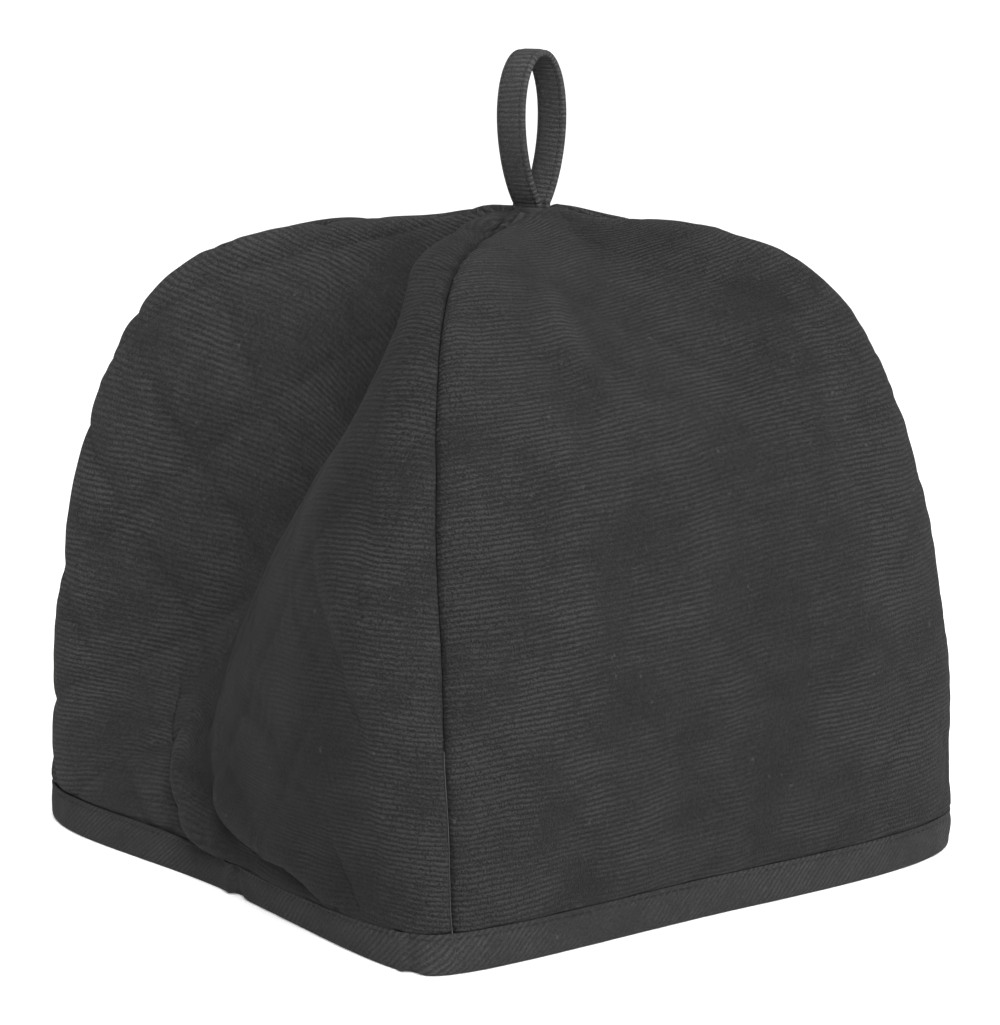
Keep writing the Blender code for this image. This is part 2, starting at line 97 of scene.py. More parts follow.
# Down the middle of each panel, from hem to point: its azimuth, then rows of height and radius in
# millimetres, turn away from that azimuth and the cloth's lean in degrees, and how far it runs on straight
# before and after, as shares of the radius.
VALLEYS = (
    (
        270.0,
        (0, 102.5, 0, 0, 0.42, 0.34), (50, 103, 0, 0, 0.42, 0.38), (95, 99, 0, 0, 0.40, 0.40),
        (131, 86, 0, 0, 0.34, 0.36), (158, 62, 0, 0, 0.30, 0.34), (175, 39, 0, 0, 0.34, 0.36),
        (188, 18, 0, 0, 0.36, 0.36), (197.5, 0, 0, 0, 0.36, 0.36),
    ),
    (
        360.0,
        (0, 100, 0, 0, 0.40, 0.40), (45, 96, 0, 0, 0.40, 0.40), (90, 88, 2, 0, 0.36, 0.36),
        (130, 74, 3, 0, 0.34, 0.34), (158, 54, 3, 0, 0.34, 0.34), (175, 35, 2, 0, 0.34, 0.34),
        (188, 17, 0, 0, 0.34, 0.34), (197.5, 0, 0, 0, 0.34, 0.34),
    ),
    (
        449.0,
        (0, 100, 0, 0, 0.42, 0.42), (40, 96, 4, 5, 0.40, 0.40), (85, 83, 6, 8, 0.36, 0.36),
        (125, 69, 4, 6, 0.34, 0.34), (158, 50, 2, 0, 0.34, 0.34), (176, 33, 0, 0, 0.34, 0.34),
        (188, 17, 0, 0, 0.34, 0.34), (197.5, 0, 0, 0, 0.34, 0.34),
    ),
    (
        540.0,
        (0, 109.5, 0, 0, 0.42, 0.36), (18, 107.5, -7, 4, 0.40, 0.42), (40, 97, -25, 11, 0.34, 0.46),
        (65, 86, -31, 20, 0.28, 0.42), (95, 72, -24, 27, 0.25, 0.50), (128, 57, -10, 20, 0.26, 0.52),
        (155, 43, -1, 8, 0.30, 0.44), (175, 28, 0, 0, 0.34, 0.32), (188, 15, 0, 0, 0.34, 0.34),
        (197.5, 0, 0, 0, 0.34, 0.34),
    ),
)

SEAM_GAP = 0.0002  # between two panels' edges
TAPE_WIDTH = 0.0108
TAPE_THICK = 0.0024
LOOP_TURN = 12.0  # azimuth of the loop's own plane
LOOP_OFF = -0.0011  # the loop is caught a little to one side of the point
ROOT_HALF_GAP = 0.0007  # half the gap between the tape's two ends, where they go in
MOUTH_GAP = 0.00075  # and from the tape to the panels round it
MOUTH_POWER = 4  # of the superellipse that the panels leave open there
MOUTH_START = 0.86  # share of a panel's height from which it opens
POINTED = 0.26  # share of the quilt's thickness left at the point

COLUMNS = 264  # fine steps across a panel
ROWS = 288  # and from hem to point
INSIDE_STEP = 3  # the face inside the cosy has one step for so many of these
EDGE_CROWD = 0.45  # how much the steps crowd towards the seams
CURVE_STEPS = 160  # round the cosy from a ridge to the middle of a panel
PROFILE_STEPS = 1200  # along a ridge, or down the middle of a panel
EDGE_STEPS = 300  # along a flat panel's cut edge
HEM_STEPS = 2000  # round the hem
BOUND_STEPS = (0.0001, 0.0004, 0.0008)  # more rows of steps just above the binding
HEM_EDGE = 0.00195  # the cloth's edge, inside the binding's fold
POINT_SHORT = 0.00006  # share of the height by which a panel stops short of its point


def ease(share):
    """0 to 1 with no corner at either end: three times the square less twice the cube."""
    share = np.clip(share, 0.0, 1.0)
    return share * share * (3 - 2 * share)


def heading(azimuth):
    """The level direction of an azimuth: its cosine and sine."""
    return np.stack([np.cos(np.radians(azimuth)), np.sin(np.radians(azimuth))], axis=-1)


def lengths(line):
    """How far along a line each point lies: the running sum of its steps."""
    steps = np.linalg.norm(np.diff(line, axis=0), axis=1)
    return np.concatenate([[0.0], np.cumsum(steps)])


def unit(ways):
    """Directions of length one."""
    return ways / np.linalg.norm(ways, axis=-1, keepdims=True)


def smooth(at, knots, values):
    """A curve through a table's rows: eased from row to row, and bent to each row's slope."""
    knots, values = np.asarray(knots, float), np.asarray(values, float)
    slope = np.gradient(values, knots)
    cell = np.clip(np.searchsorted(knots, at) - 1, 0, len(knots) - 2)
    span = knots[cell + 1] - knots[cell]
    part = np.clip((at - knots[cell]) / span, 0.0, 1.0)
    rise = ease(part)
    bend = part * (1 - part) * span * ((1 - part) * slope[cell] - part * slope[cell + 1])
    return values[cell] * (1 - rise) + values[cell + 1] * rise + bend


def rows_at(where, run, rows):
    """A line's rows at distances along it."""
    return np.stack([np.interp(where, run, column) for column in rows.T], axis=-1)


def centre_at(height):
    """The cosy's axis leans from the hem's centre to the point's, evenly with height."""
    return np.asarray(height)[..., None] / CROWN_HEIGHT * np.array(APEX_SHIFT)


def ridge_line(ridge):
    """A ridge from hem to point: a superellipse in side view, with a bell-shaped peak at the middle and a
    mound or a dip beside it."""
    angle = np.linspace(0, math.pi / 2, PROFILE_STEPS)
    radius = HEM_RADIUS * ridge["radius"] * np.cos(angle) ** (2 / ridge["power"])
    rise = np.sin(angle) ** (2 / ridge["power"])
    radius = radius + ridge["swell"] * np.sin(math.pi * rise**2)
    radius[-1] = 0
    settled = 1 - ridge["settle"] * ease((rise - SETTLE_START) / SETTLE_SHARE)
    azimuth = ridge["azimuth"] + ridge["swing"] * ease(rise / SWING_SHARE) * settled
    crown = CROWN_HEIGHT * ridge["crown"]
    peak = CROWN_HEIGHT + APEX_RISE - crown
    mound = ridge["mound"] * np.exp(-(((radius - ridge["mound_at"]) / MOUND_SPREAD) ** 2))
    height = crown * rise + peak * np.exp(-((radius / ridge["spread"]) ** 2))
    height = height + mound * ease(radius / MOUND_SPREAD)
    plan = centre_at(height) + radius[:, None] * heading(azimuth)
    return np.column_stack([plan, height, azimuth])


def valley_line(rows):
    """The middle of a panel from hem to point, smooth through its table by distance along it."""
    azimuth, *levels = rows
    height, radius, turn, lean, before, after = np.array(levels).T
    height, radius = height / 1000, radius / 1000
    chord = lengths(np.column_stack([radius, height]))
    at = np.linspace(0, chord[-1], PROFILE_STEPS)
    height, radius, turn, lean, before, after = (
        smooth(at, chord, column) for column in (height, radius, turn, lean, before, after)
    )
    plan = centre_at(height) + radius[:, None] * heading(azimuth + turn)
    return np.column_stack([plan, height, azimuth + turn, lean, before, after])


def half_width(up):
    """Half a flat panel's width at a height above its hem: a superellipse."""
    return PANEL_HALF_WIDTH * (1 - np.clip(up / PANEL_HEIGHT, 0, 1) ** PANEL_POWER) ** (1 / PANEL_POWER)


edge_heights = PANEL_HEIGHT * np.sin(np.linspace(0, math.pi / 2, EDGE_STEPS))
edge_run = lengths(np.column_stack([half_width(edge_heights), edge_heights]))
ridge_lines = [ridge_line(ridge) for ridge in RIDGES]
valley_lines = [valley_line(rows) for rows in VALLEYS]


def eased_along(line, where, total):
    """A line's row at a distance on the flat panel, stretched by its square so as to end at the point."""
    run = lengths(line[:, :3])
    where = where + (run[-1] - total) * (where / total) ** 2
    return rows_at(where, run, line)


def curve_between(start, start_pull, end, end_pull):
    """A cubic Bezier curve without its last point."""
    share = np.linspace(0, 1, CURVE_STEPS, endpoint=False)[:, None]
    rest = 1 - share
    middle = 3 * rest**2 * share * (start + start_pull) + 3 * rest * share**2 * (end + end_pull)
    return rest**3 * start + middle + share**3 * end


def flat_turn(azimuth):
    """The level direction a quarter turn counterclockwise of an azimuth."""
    across = heading(azimuth + 90)
    return np.array([across[0], across[1], 0.0])


def cosy_section(up):
    """The closed line round the cosy at one height of the flat panels: ridge, valley, ridge, by cubics."""
    edge = np.interp(up, edge_heights, edge_run)
    ridges = [eased_along(line, edge, edge_run[-1]) for line in ridge_lines]
    shrink = half_width(up) / PANEL_HALF_WIDTH
    pieces = []
    for number, ridge in enumerate(RIDGES):
        following = (number + 1) % len(RIDGES)
        middle = eased_along(valley_lines[number], up, PANEL_HEIGHT)
        place, azimuth, lean, before, after = middle[:3], *middle[3:]
        along = np.linalg.norm(place[:2] - centre_at(place[2])) * flat_turn(azimuth - lean)
        pull = np.interp(up, (0, BACK_RISE), ridge["back"]) * shrink * flat_turn(ridges[number][3])
        pieces.append(curve_between(ridges[number][:3], pull, place, -before * along))
        back = np.interp(up, (0, BACK_RISE), RIDGES[following]["back"])
        pull = -back * shrink * flat_turn(ridges[following][3])
        pieces.append(curve_between(place, after * along, ridges[following][:3], pull))
    closed = np.vstack(pieces + [pieces[0][:1]])
    run = lengths(closed)
    crests = run[np.arange(len(RIDGES)) * 2 * CURVE_STEPS]
    seams = crests + [smooth(up * 1000, SHIFT_HEIGHTS, shifts) / 1000 for shifts in SEAM_SHIFTS]
    return closed, run, np.append(seams, seams[0] + run[-1])


def take(closed, run, where):
    """Points of a closed line at distances along it, which may pass its end."""
    return rows_at(where % run[-1], run, closed)


def facing_of(sheet):
    """Outward directions of a grid of points: the cross product of its two ways."""
    return unit(np.cross(np.gradient(sheet, axis=1), np.gradient(sheet, axis=0)))


def mouth(angle):
    """The opening at the point for the loop's ends: a superellipse round the doubled tape."""
    clear = POINTED * QUILT_THICK / 2 + MOUTH_GAP
    broad, narrow = TAPE_WIDTH / 2 + clear, TAPE_THICK + ROOT_HALF_GAP + clear
    turned = np.radians(angle - LOOP_TURN - 90)
    along, aside = np.abs(np.cos(turned) / broad), np.abs(np.sin(turned) / narrow)
    return (along**MOUTH_POWER + aside**MOUTH_POWER) ** (-1 / MOUTH_POWER)


steps = np.linspace(0, 1, COLUMNS + 1)
shares = steps - EDGE_CROWD * np.sin(2 * math.pi * steps) / (2 * math.pi)
levels = PANEL_HEIGHT * np.sin(np.linspace(math.asin(HEM_EDGE / PANEL_HEIGHT), math.pi / 2, ROWS + 1))
levels[-1] *= 1 - POINT_SHORT
levels = np.sort(np.append(levels, BINDING_HEIGHT + np.array(BOUND_STEPS)))
sections = [cosy_section(up) for up in levels]

# The frame stands with the middle of its box over the origin, so all of this moves there with its hem
BINDING_OUT = 0.0026  # from the cloth's middle to the binding's outer face
BINDING_THICK = 0.0012  # of its fold under the cloth's edge
hem_line, hem_run, _ = cosy_section(BINDING_THICK)
hem_round = take(hem_line, hem_run, np.linspace(0, hem_run[-1], HEM_STEPS, endpoint=False))
hem_ahead = np.roll(hem_round, -1, axis=0) - np.roll(hem_round, 1, axis=0)
hem_outer = hem_round[:, :2] + BINDING_OUT * unit(np.column_stack([hem_ahead[:, 1], -hem_ahead[:, 0]]))
hem_box = np.array(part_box("hem_binding"))[:, :2]
shift = np.append(hem_box.mean(axis=0) - (hem_outer.min(axis=0) + hem_outer.max(axis=0)) / 2, 0.0)


def panel_middle(number):
    """A panel's middle surface, a row of points for each height, and how far across it each point lies."""
    sheet, across = [], []
    for closed, run, seams in sections:
        start, end = seams[number] + SEAM_GAP / 2, seams[number + 1] - SEAM_GAP / 2
        sheet.append(take(closed, run, start + shares * (end - start)))
        across.append((shares - 0.5) * (end - start))
    corners = [ridge["azimuth"] + ridge["swing"] for ridge in RIDGES]
    corners.append(corners[0] + 360)
    angle = corners[number] + shares * (corners[number + 1] - corners[number])
    spread = ease((levels / PANEL_HEIGHT - MOUTH_START) / (1 - MOUTH_START))[:, None, None]
    sheet = np.array(sheet)
    sheet[..., :2] += spread * (mouth(angle)[:, None] * heading(angle) + LOOP_OFF * heading(LOOP_TURN))
    return sheet + shift, np.array(across)


QUILT_PITCH = 0.0357  # between two rows of quilting that run side by side
# How far each panel's falling and rising rows are shifted, in pitches
QUILT_SHIFTS = ((0.47, 0.40), (0.15, 0.70), (0.62, 0.25), (0.35, 0.13))
# How deep the quilting is sunk in each panel's first half and second
QUILT_DEPTHS = ((0.28, 0.36), (0.75, 0.75), (0.75, 0.75), (0.95, 0.30))
HALVES_PASS = 1.5  # how steeply one passes into the other
STITCHED = 0.46  # share of the thickness left under the stitches
GROOVES = (0.0036, 0.0036, 0.0036, 0.0026)  # how soon each quilt fills out beside a row of stitches
ROW_ROUND = 0.0005  # how round the bottom of the stitched groove is
SEAMED = 0.46  # share of the thickness left at the seams
SEAM_LINE = 0.0006  # half the width of the narrow groove that the seam is sewn in
SEAM_FOOT = 0.06  # share of the thickness left at the groove's foot
SEAM_ROLL = 0.0038  # how far beyond it the rolled edge is full
SEAM_WAVER = 0.22  # how uneven the roll is along the seam
SEAM_HALF = 0.0075  # how far from the seam the cloth dips towards it
SEAM_DIP = 0.0006  # and how deep
BOUND = 0.46  # share of the thickness left under the binding
BOUND_ROLL = 0.0024  # how soon the quilt is full above the binding
HEM_EASE = 0.0060  # and how soon it is free to crease
CREASE_HALF = 0.015  # and how far from a seam
SIDE_BLEND = 0.8  # a crease's two sides blend over this, in millimetres
POINT_HALF = 0.006  # how far below the point the quilt thins

# Soft creases, as smooth lines on a flat panel, in millimetres. Each row is the panel's number, how far
# the crease spreads left and right of its line, walked from the first point to the last, and the points:
# how far across from the panel's middle, how far up from the hem, and how deep. Below nought, it stands up.
CREASES = (
    (0, 6, 8, (
        (-14, 146, 0), (-19, 154, 1.6), (-24, 165, 2.2), (-25, 178, 2.2), (-20, 192, 1.8),
        (-14, 210, 1.2), (-13, 225, 0.8))),
    (0, 9, 11, ((-2, 170, 0.4), (-4, 182, 1.6), (-8, 195, 0.8))),
    (0, 11, 11, ((-36, 205, -1.0), (-28, 168, -1.6), (-19, 127, -0.8))),
    (0, 5, 5, ((-48, 160, -0.7), (-51, 135, -0.7))),
    (0, 11, 11, ((-62, 178, 1.0), (-45, 166, 1.0))),
    (0, 5, 5, ((43, 138, -0.6), (44, 121, -0.6), (47, 97, -0.3))),
    (1, 14, 14, ((20, 30, 3.5), (45, 100, 3.5))),
    (2, 13, 13, ((-10, 20, 5.0), (-30, 110, 5.0))),
    # the roll of cloth caught beside the near fold, its sharp outer edge and the slight sink before that
    (3, 1.6, 6, (
        (4, 15, -1.4), (-7, 16, -1.8), (-16, 18, -2.0), (-24, 23, -2.0), (-32, 30, -2.0), (-43, 39, -1.8),
        (-52, 50, -1.6), (-57, 63, -1.4), (-60, 74, -1.0), (-60, 88, 0))),
    (3, 6.5, 9, (
        (2, 17, -4.0), (-12, 22, -6.5), (-24, 31, -7.5), (-34, 42, -7.5), (-43, 52, -7.5),
        (-48, 66, -7.0), (-49, 80, -5.5), (-45, 94, -3.5), (-37, 110, -1.5), (-28, 124, 0))),
    (3, 3, 1.5, (
        (-27, 20, 1.4), (-36, 29, 1.4), (-47, 38, 1.4), (-57, 50, 1.2), (-62, 63, 1.0), (-65, 76, 0))),
    # the quilting row beyond it, drawn tight
    (3, 5, 5, (
        (-84, 60, -0.8), (-78, 47, -1.2), (-62, 32, -1.2), (-38, 18, -0.8))),
    # the crest is full where it nears the point
    (3, 9, 9, (
        (16, 236, -2.5), (25, 230, -5.0), (33, 224, -5.5), (41, 216, -5.5), (48, 206, -5.0),
        (54, 195, -3.5), (60, 182, -1.0))),
    # the crest's soft inner edge, and the curve in which it runs out below
    (3, 13, 5, (
        (97, 112, 1.8), (92, 131, 2.6), (87, 142, 2.6), (84, 158, 2.2), (78, 172, 0.8))),
    (3, 13, 3.5, (
        (91, 32, 0.8), (94, 52, 1.6), (97, 65, 1.9), (93, 79, 1.9), (88, 93, 1.8), (78, 108, 1.6),
        (69, 124, 0.6))),
    # the near fold's foot, curling over the binding
    (3, 4, 11, (
        (66, 18, -2.5), (50, 25, -4.0), (36, 27, -4.5), (20, 31, -4.5), (8, 38, -4.0), (2, 52, -2.0))),
    (3, 3, 2.5, ((62, 14, 1.2), (50, 21, 2.0), (36, 22, 2.0), (24, 25, 1.2))),
    (3, 5, 2, ((82, 15, 1.4), (77, 26, 1.4), (74, 38, 0.4))),
    (3, 7, 3, ((22, 76, 0.4), (30, 72, 1.2), (40, 70, 1.4), (50, 66, 0.6))),
)
CREASE_STEPS = 6  # straight stretches between two of a crease's points


def crease_depth(number, across, up):
    """A panel's creases: each a bell curve of the distance from its line, as deep as its nearest place."""
    places = np.stack([across, up], axis=-1) * 1000
    depth = np.zeros_like(across)
    for panel, left, right, line in CREASES:
        if panel != number:
            continue
        points = np.array(line, float)
        knots = lengths(points[:, :2])
        at = np.linspace(0, knots[-1], CREASE_STEPS * (len(points) - 1) + 1)
        line = np.stack([smooth(at, knots, column) for column in points.T], axis=-1)
        nearest = np.full(across.shape, np.inf)
        crossed, deep = np.zeros_like(across), np.zeros_like(across)
        for start, end in zip(line, line[1:]):
            reach = (end - start)[:2]
            offset = places - start[:2]
            part = np.clip(offset @ reach / (reach @ reach), 0, 1)
            away = np.linalg.norm(offset - part[..., None] * reach, axis=-1)
            leftward = offset @ np.array((-reach[1], reach[0])) / np.linalg.norm(reach)
            here = away < nearest
            nearest = np.where(here, away, nearest)
            crossed = np.where(here, leftward, crossed)
            deep = np.where(here, start[2] + part * (end[2] - start[2]), deep)
        leftness = 0.5 + 0.5 * np.clip(crossed / SIDE_BLEND, -1, 1)
        spread = right + (left - right) * leftness
        depth += deep / 1000 * np.exp(-((nearest / spread) ** 2))
    return depth


def unevenness(across, up, seed, longest, shortest, waves=26):
    """A soft random field of about unit height: a sum of plane waves of seeded lengths, ways and phases."""
    draw = np.random.default_rng(seed)
    field = np.zeros_like(across)
    for _ in range(waves):
        length = shortest * (longest / shortest) ** draw.random()
        way, phase = draw.random(2) * 2 * math.pi
        field += np.sin(2 * math.pi * (across * math.cos(way) + up * math.sin(way)) / length + phase)
    return field / math.sqrt(waves / 2)


def row_place(number, across, up):
    """For the falling and the rising rows: the distance to the nearest row, and the place along it."""
    places = []
    for way, shifted in zip((1, -1), QUILT_SHIFTS[number]):
        through = (across + way * up) / math.sqrt(2)
        away = np.abs((through / QUILT_PITCH - shifted + 0.5) % 1.0 - 0.5) * QUILT_PITCH
        places.append((away, (up - way * across) / math.sqrt(2)))
    return places


PUCKER_HIGH = 0.00016  # the small puckers along a row of stitches
PUCKER_LENGTH = 0.0085  # from one to the next
PUCKER_WANDER = 2.1  # how far they stray from even spacing, in radians of their wave
PUCKER_START = 0.0012  # how soon beside the row they begin
PUCKER_REACH = 0.0055  # and run out


def quilt_faces(number, across, up, seam):
    """Half the quilt's thickness, the puckers on its outer face, and how proud each place stands.

    Each diamond is a puff, which rises steeply from its stitches and levels off: one less an exponential.
    At the seams it rolls down in a quarter circle, and it thins where the binding and the point hold it.
    """
    puff = np.ones_like(across)
    pucker = np.zeros_like(across)
    for away, along in row_place(number, across, up):
        puff *= 1 - np.exp(-(np.hypot(away, ROW_ROUND) - ROW_ROUND) / GROOVES[number])
        stray = PUCKER_WANDER * unevenness(across, up, seed=31 + number, longest=0.060, shortest=0.025)
        gather = np.sin(2 * math.pi * along / PUCKER_LENGTH + stray)
        pucker += PUCKER_HIGH * gather * np.exp(-away / PUCKER_REACH) * (1 - np.exp(-away / PUCKER_START))
    first, second = QUILT_DEPTHS[number]
    drawn = first + (second - first) * ease(across / PANEL_HALF_WIDTH * HALVES_PASS + 0.5)
    share = 1 - (1 - STITCHED) * drawn * (1 - puff)
    uneven = 1 + SEAM_WAVER * unevenness(across, up, seed=61 + number, longest=0.030, shortest=0.004)
    roll = np.clip((seam - SEAM_LINE) / (SEAM_ROLL * uneven), 0, 1)
    roll = np.sqrt(1 - (1 - roll) ** 2)
    share = SEAMED + (share - SEAMED) * roll - (SEAMED - SEAM_FOOT) * np.clip(1 - seam / SEAM_LINE, 0, 1)
    free = np.clip((up - BINDING_HEIGHT) / BOUND_ROLL, 0, 1)
    bound = BOUND + (1 - BOUND) * np.sqrt(1 - (1 - free) ** 2)
    point = POINTED + (1 - POINTED) * ease((PANEL_HEIGHT - up) / POINT_HALF)
    half = QUILT_THICK / 2 * np.minimum(share * bound, point)
    return half, pucker * roll * free, puff


SLOW_HIGH = 0.00055  # the cloth's slow unevenness
GATHER_HIGH = 0.00018  # the small gathers beside a seam
GATHER_LENGTH = 0.0105  # from one to the next
GATHER_WANDER = 2.4  # how far they stray from even spacing, in radians of their wave
GATHER_START = 0.002  # how far from the seam they are full
GATHER_REACH = 0.006  # and run out


def soft_shape(number, across, up, seam):
    """How far the middle surface sinks: at the seams, in the creases, and in slow unevenness."""
    free = ease((up - BINDING_HEIGHT) / HEM_EASE) * ease((PANEL_HEIGHT - up) / POINT_HALF)
    dip = SEAM_DIP * (1 - ease(seam / SEAM_HALF))
    depth = crease_depth(number, across, up) * ease(seam / CREASE_HALF)
    slow = SLOW_HIGH * unevenness(across, up, seed=7 + number, longest=0.075, shortest=0.030)
    stray = GATHER_WANDER * unevenness(across, up, seed=3 + number, longest=0.09, shortest=0.04)
    gather = GATHER_HIGH * np.sin(2 * math.pi * up / GATHER_LENGTH + stray)
    gather = gather * np.exp(-seam / GATHER_REACH) * ease(seam / GATHER_START)
    return (dip + depth + slow * ease(seam / CREASE_HALF) + gather) * free


# How the rows of ribs lie on each panel, as the cloth was cut and quilted a little off its grain: the place
# up the bolt is the place up the panel times a share, which eases from the first to the second over a
# stretch of the width, less a slope and a bow by the square of the width.
GRAIN = (
    dict(first=1.00, second=0.94, start=-0.05, stretch=0.13, slope=0.035, bow=0.0),
    dict(first=1.00, second=1.00, start=-0.05, stretch=0.13, slope=0.020, bow=0.0),
    dict(first=1.00, second=1.00, start=-0.05, stretch=0.13, slope=-0.015, bow=0.0),
    dict(first=0.88, second=1.01, start=-0.04, stretch=0.09, slope=0.020, bow=-0.85),
)


def cloth_place(number, across, up):
    """A panel's place on the bolt of cloth, in metres, by its row of GRAIN."""
    row = GRAIN[number]
    share = row["first"] + (row["second"] - row["first"]) * ease((across - row["start"]) / row["stretch"])
    return np.stack([across, up * share - row["slope"] * across - row["bow"] * across**2], axis=-1)


def show(name, data):
    """Puts an object with this mesh, lamp or camera in the scene."""
    piece = bpy.data.objects.new(name, data)
    bpy.context.scene.collection.objects.link(piece)
    return piece


def lay_mesh(name, points, faces, uv, **fields):
    """A mesh object from points and faces, its UV map in metres of cloth, and its points' named values."""
    mesh = bpy.data.meshes.new(name)
    mesh.from_pydata(points, [], faces)
    corner = np.empty(len(mesh.loops), np.int32)
    mesh.loops.foreach_get("vertex_index", corner)
    mesh.uv_layers.new(name="cloth").data.foreach_set("uv", np.asarray(uv, np.float32)[corner].reshape(-1))
    for field, values in fields.items():
        values = np.full(len(points), values, np.float32)
        mesh.attributes.new(field, "FLOAT", "POINT").data.foreach_set("value", values)
    mesh.shade_smooth()
    return show(name, mesh)


def numbered(points, first=0):
    """The numbers of a grid's points, counted row by row."""
    return first + np.arange(points.shape[0] * points.shape[1]).reshape(points.shape[:2])


def grid_faces(index, turned=False):
    """The quads of a grid of point numbers."""
    corners = [index[:-1, :-1], index[:-1, 1:], index[1:, 1:], index[1:, :-1]]
    return np.stack(corners[::-1] if turned else corners, axis=-1).reshape(-1, 4).tolist()


def rim_faces(outside, inside, turned):
    """Joins the outer face's rim to the inner one's, which has one step for each few of the outer."""
    many = [outside[step : len(outside) - INSIDE_STEP + step : INSIDE_STEP] for step in range(INSIDE_STEP)]
    many.append(outside[INSIDE_STEP::INSIDE_STEP])
    corners = many + [inside[1:], inside[:-1]]
    return np.stack(corners[::-1] if turned else corners, axis=-1).tolist()


def linear(code):
    """An sRGB hex colour as linear red, green, blue and a full alpha."""
    parts = np.array([int(code[place : place + 2], 16) for place in (0, 2, 4)]) / 255
    parts = np.where(parts <= 0.04045, parts / 12.92, ((parts + 0.055) / 1.055) ** 2.4)
    return (*parts.tolist(), 1.0)


def add(tree, kind, inputs, **settings):
    """Adds a node with its settings, each input a value or another node's output. Gives its outputs."""
    node = tree.nodes.new(kind)
    for name, value in settings.items():
        setattr(node, name, value)
    for name, value in inputs.items():
        if isinstance(value, bpy.types.NodeSocket):
            tree.links.new(value, node.inputs[name])
        else:
            node.inputs[name].default_value = value
    return node.outputs


def surface(name, values):
    """A new material whose shader has these values. Gives the material, its node tree and the shader."""
    material = bpy.data.materials.new(name)
    material.use_nodes = True
    shader = material.node_tree.nodes["Principled BSDF"]
    for socket, value in values.items():
        shader.inputs[socket].default_value = value
    return material, material.node_tree, shader


# Dull cotton with hardly a sheen: the light only catches what stands up
COTTON = {"Roughness": 0.95, "Specular IOR Level": 0.10, "Sheen Weight": 0.04, "Sheen Roughness": 0.45}
LINT = "636362"  # pale fibres and dust


